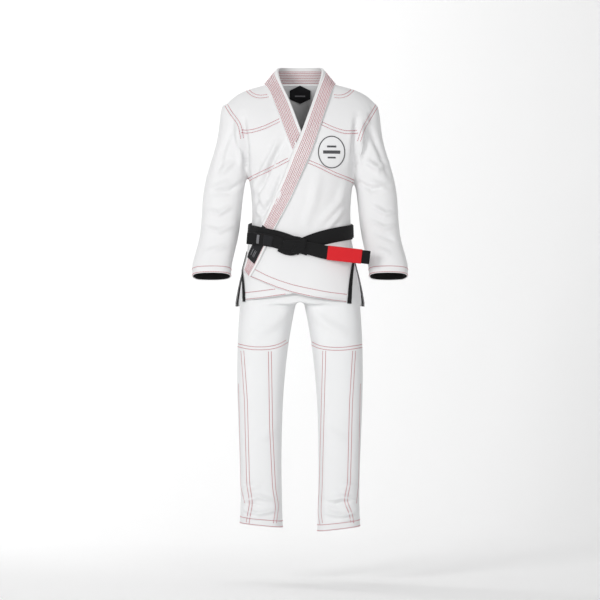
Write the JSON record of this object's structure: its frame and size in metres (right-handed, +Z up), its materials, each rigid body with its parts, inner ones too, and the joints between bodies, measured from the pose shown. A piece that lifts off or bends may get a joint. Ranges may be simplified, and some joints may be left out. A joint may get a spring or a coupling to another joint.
{
  "type": "martial arts uniform",
  "caption": "Jiu-jitsu uniform: white wrap-over jacket with a stiff quilted lapel, knotted black belt with a red end bar, and straight drawcord trousers with knee panels.",
  "frame": {"origin": "on the ground plane of the trouser hems, centred left to right and front to back", "axes": "+Z up from hems to collar, +X the wearer's left, -Y the front"},
  "size_m": [0.6718, 0.2721, 1.437],
  "materials": {
    "jacket_cotton": "thick white pearl-weave cotton with pink-red stitching",
    "trouser_cotton": "white cotton twill with pink-red stitching",
    "black_belt": "matte black cotton with parallel rows of stitching",
    "red_bar": "red cotton sewn round one belt end",
    "black_tape": "black woven tape",
    "label": "plain black woven label",
    "grey_thread": "dark grey embroidery",
    "foam": "closed-cell foam core, hidden in lapel and collar",
    "cord": "flat white braided cord"
  },
  "bodies": {
    "jacket": {"back_hem_band": "jacket_cotton", "back_panel": "jacket_cotton", "belt_knot": "black_belt", "belt_over_wrap": "black_belt", "belt_under_wrap": "black_belt", "chest_crest": "grey_thread", "lapel_label": "label", "left_back_vent_tape": "black_tape", "left_front_hem_band": "jacket_cotton", "left_front_panel": "jacket_cotton", "left_front_vent_tape": "black_tape", "left_lapel_core": "foam", "left_lapel_cover": "jacket_cotton", "left_shoulder_yoke": "jacket_cotton", "left_sleeve_cap": "jacket_cotton", "neck_collar_core": "foam", "neck_collar_cover": "jacket_cotton", "neck_label": "label", "right_back_vent_tape": "black_tape", "right_front_hem_band": "jacket_cotton", "right_front_panel": "jacket_cotton", "right_front_vent_tape": "black_tape", "right_lapel_core": "foam", "right_lapel_cover": "jacket_cotton", "right_shoulder_yoke": "jacket_cotton", "right_sleeve_cap": "jacket_cotton", "belt_label": "label", "belt_label_tail": "black_belt"},
    "rank_tail": {"belt_rank_bar": "red_bar", "belt_rank_tail": "black_belt"},
    "trouser_body": {"crotch_gusset": "trouser_cotton", "left_hip_fold": "trouser_cotton", "right_hip_fold": "trouser_cotton", "trouser_drawcord": "cord", "trouser_seat": "trouser_cotton", "trouser_waistband": "trouser_cotton"},
    "left_forearm": {"left_cuff_band": "jacket_cotton", "left_cuff_lining": "black_tape", "left_forearm_sleeve": "jacket_cotton"},
    "left_upper_arm": {"left_elbow_fold": "jacket_cotton", "left_shoulder_fold": "jacket_cotton", "left_upper_sleeve": "jacket_cotton"},
    "left_thigh_tube": {"left_knee_fold": "trouser_cotton", "left_knee_patch_upper": "trouser_cotton", "left_thigh": "trouser_cotton"},
    "left_shin_tube": {"left_knee_patch_lower": "trouser_cotton", "left_shin": "trouser_cotton", "left_trouser_hem": "trouser_cotton"},
    "right_forearm": {"right_cuff_band": "jacket_cotton", "right_cuff_lining": "black_tape", "right_forearm_sleeve": "jacket_cotton"},
    "right_upper_arm": {"right_elbow_fold": "jacket_cotton", "right_shoulder_fold": "jacket_cotton", "right_upper_sleeve": "jacket_cotton"},
    "right_thigh_tube": {"right_knee_fold": "trouser_cotton", "right_knee_patch_upper": "trouser_cotton", "right_thigh": "trouser_cotton"},
    "right_shin_tube": {"right_knee_patch_lower": "trouser_cotton", "right_shin": "trouser_cotton", "right_trouser_hem": "trouser_cotton"}
  },
  "joints": [
    {"name": "left_shoulder", "type": "hinge", "parent": "jacket", "child": "left_upper_arm", "pos_m": [0.225, 0.00743, 1.1], "axis": [0, -1, 0], "range_deg": [0, 35], "deforming": ["left_shoulder_fold"]},
    {"name": "left_elbow", "type": "hinge", "parent": "left_upper_arm", "child": "left_forearm", "pos_m": [0.246, -0.00157, 0.96], "axis": [-1, 0, 0], "range_deg": [0, 75], "deforming": ["left_elbow_fold"]},
    {"name": "right_shoulder", "type": "hinge", "parent": "jacket", "child": "right_upper_arm", "pos_m": [-0.225, 0.00743, 1.1], "axis": [0, 1, 0], "range_deg": [0, 35], "deforming": ["right_shoulder_fold"]},
    {"name": "right_elbow", "type": "hinge", "parent": "right_upper_arm", "child": "right_forearm", "pos_m": [-0.246, -0.00157, 0.96], "axis": [-1, 0, 0], "range_deg": [0, 75], "deforming": ["right_elbow_fold"]},
    {"name": "trousers_slide", "type": "slide", "parent": "jacket", "child": "trouser_body", "axis": [0, 0, 1], "range_m": [-0.3, 0]},
    {"name": "left_hip", "type": "hinge", "parent": "trouser_body", "child": "left_thigh_tube", "pos_m": [0.104, 0.00743, 0.68], "axis": [0, -1, 0], "range_deg": [0, 15], "deforming": ["left_hip_fold"]},
    {"name": "left_knee", "type": "hinge", "parent": "left_thigh_tube", "child": "left_shin_tube", "pos_m": [0.121, 0.00743, 0.43], "axis": [1, 0, 0], "range_deg": [0, 70], "deforming": ["left_knee_fold"]},
    {"name": "right_hip", "type": "hinge", "parent": "trouser_body", "child": "right_thigh_tube", "pos_m": [-0.104, 0.00743, 0.68], "axis": [0, 1, 0], "range_deg": [0, 15], "deforming": ["right_hip_fold"]},
    {"name": "right_knee", "type": "hinge", "parent": "right_thigh_tube", "child": "right_shin_tube", "pos_m": [-0.121, 0.00743, 0.43], "axis": [1, 0, 0], "range_deg": [0, 70], "deforming": ["right_knee_fold"]},
    {"name": "rank_tail_swing", "type": "hinge", "parent": "jacket", "child": "rank_tail", "pos_m": [0.027, -0.13157, 0.878], "axis": [0, 1, 0], "range_deg": [-10, 55]}
  ]
}
